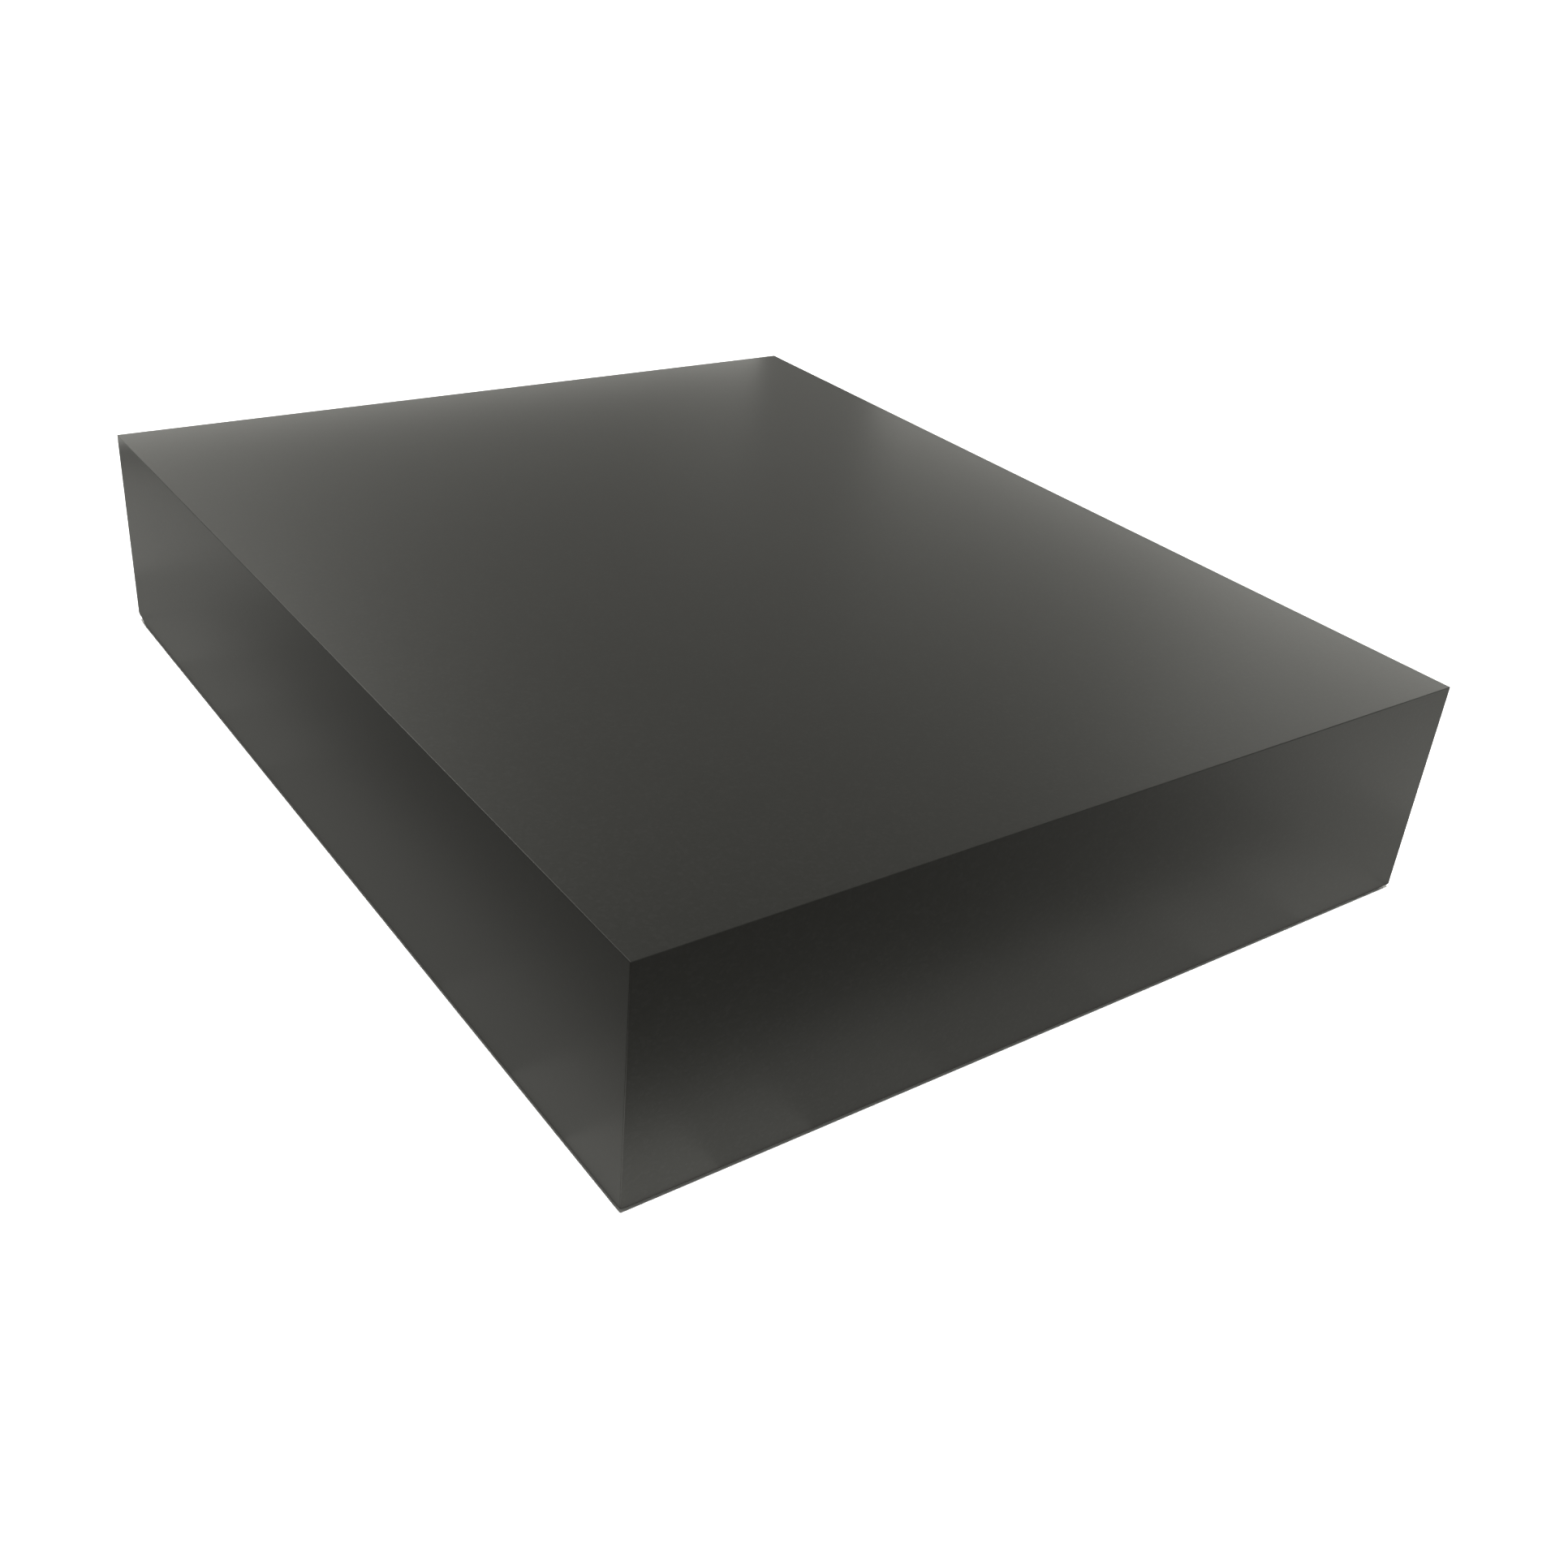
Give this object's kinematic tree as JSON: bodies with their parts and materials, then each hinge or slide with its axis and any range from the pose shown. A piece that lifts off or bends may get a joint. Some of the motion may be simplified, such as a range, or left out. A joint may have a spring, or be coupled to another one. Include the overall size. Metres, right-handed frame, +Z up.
{
  "type": "granite slab",
  "caption": "Thick rectangular block of dark honed stone with square, lightly eased edges on thin non-slip pads, used as a firm, heavy base for stamping and carving leather.",
  "frame": {"origin": "on the bench, under the middle of the slab: the centre of the bounding box's lower face", "axes": "+Y along the slab's long side, +X along its short side, +Z up out of the work face"},
  "size_m": [0.2032, 0.254, 0.0516],
  "materials": {
    "honed_granite": "fine-grained near-black granite, honed to a satin sheen on the work face and sides, sawn underneath",
    "pad_rubber": "matt black sheet rubber with a cut rim"
  },
  "bodies": {
    "root": {"granite_block": "honed_granite", "pad_front_left": "pad_rubber", "pad_front_right": "pad_rubber", "pad_back_left": "pad_rubber", "pad_back_right": "pad_rubber"}
  },
  "joints": []
}
